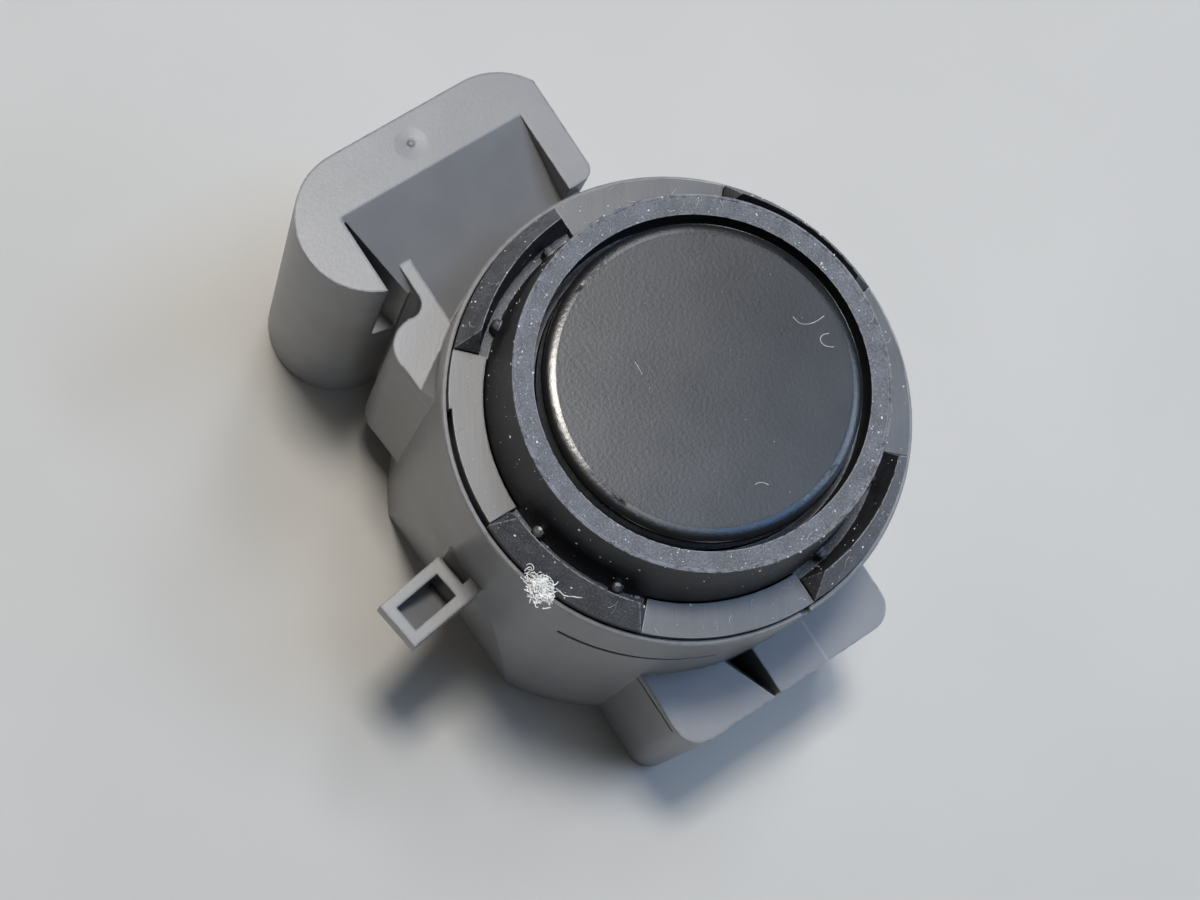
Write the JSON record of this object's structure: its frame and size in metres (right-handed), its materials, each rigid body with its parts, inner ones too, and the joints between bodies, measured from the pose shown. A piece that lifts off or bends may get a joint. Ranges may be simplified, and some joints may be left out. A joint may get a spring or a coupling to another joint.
{
  "type": "parking sensor",
  "caption": "Round ultrasonic parking sensor: grey moulded housing with plug socket and clip lugs, black rubber ring with wedge tabs, and a painted membrane face.",
  "frame": {"origin": "on the sensing axis, in the plane of the open back", "axes": "+Z along the sensing axis, out of the face; +Y towards the plug socket; -X towards the loop lug"},
  "size_m": [0.0284, 0.0345, 0.0269],
  "materials": {
    "grey_plastic": "satin moulded",
    "collar_plastic": "satin moulded, finely streaked",
    "black_rubber": "matt, dusty",
    "painted_aluminium": "satin paint",
    "piezo_ceramic": "matt",
    "silicone_pad": "matt",
    "plug_rubber": "matt",
    "lead_wire": "plain",
    "board": "satin",
    "ferrite": "matt",
    "winding": "enamelled",
    "chip_epoxy": "matt",
    "capacitor_ceramic": "matt",
    "resistor_ceramic": "satin",
    "terminal_metal": "tinned",
    "sealing_compound": "smooth"
  },
  "bodies": {
    "root": {"housing": "grey_plastic", "collar": "collar_plastic", "decoupling_ring": "black_rubber", "membrane_pot": "painted_aluminium", "piezo_disc": "piezo_ceramic", "damping_pad": "silicone_pad", "pot_plug": "plug_rubber", "lead_signal": "lead_wire", "lead_ground": "lead_wire", "circuit_board": "board", "transformer_core": "ferrite", "transformer_winding": "winding", "control_chip": "chip_epoxy", "capacitor_a": "capacitor_ceramic", "capacitor_b": "capacitor_ceramic", "resistor_a": "resistor_ceramic", "resistor_b": "resistor_ceramic", "terminal_a": "terminal_metal", "terminal_b": "terminal_metal", "terminal_c": "terminal_metal", "back_fill": "sealing_compound"}
  },
  "joints": []
}
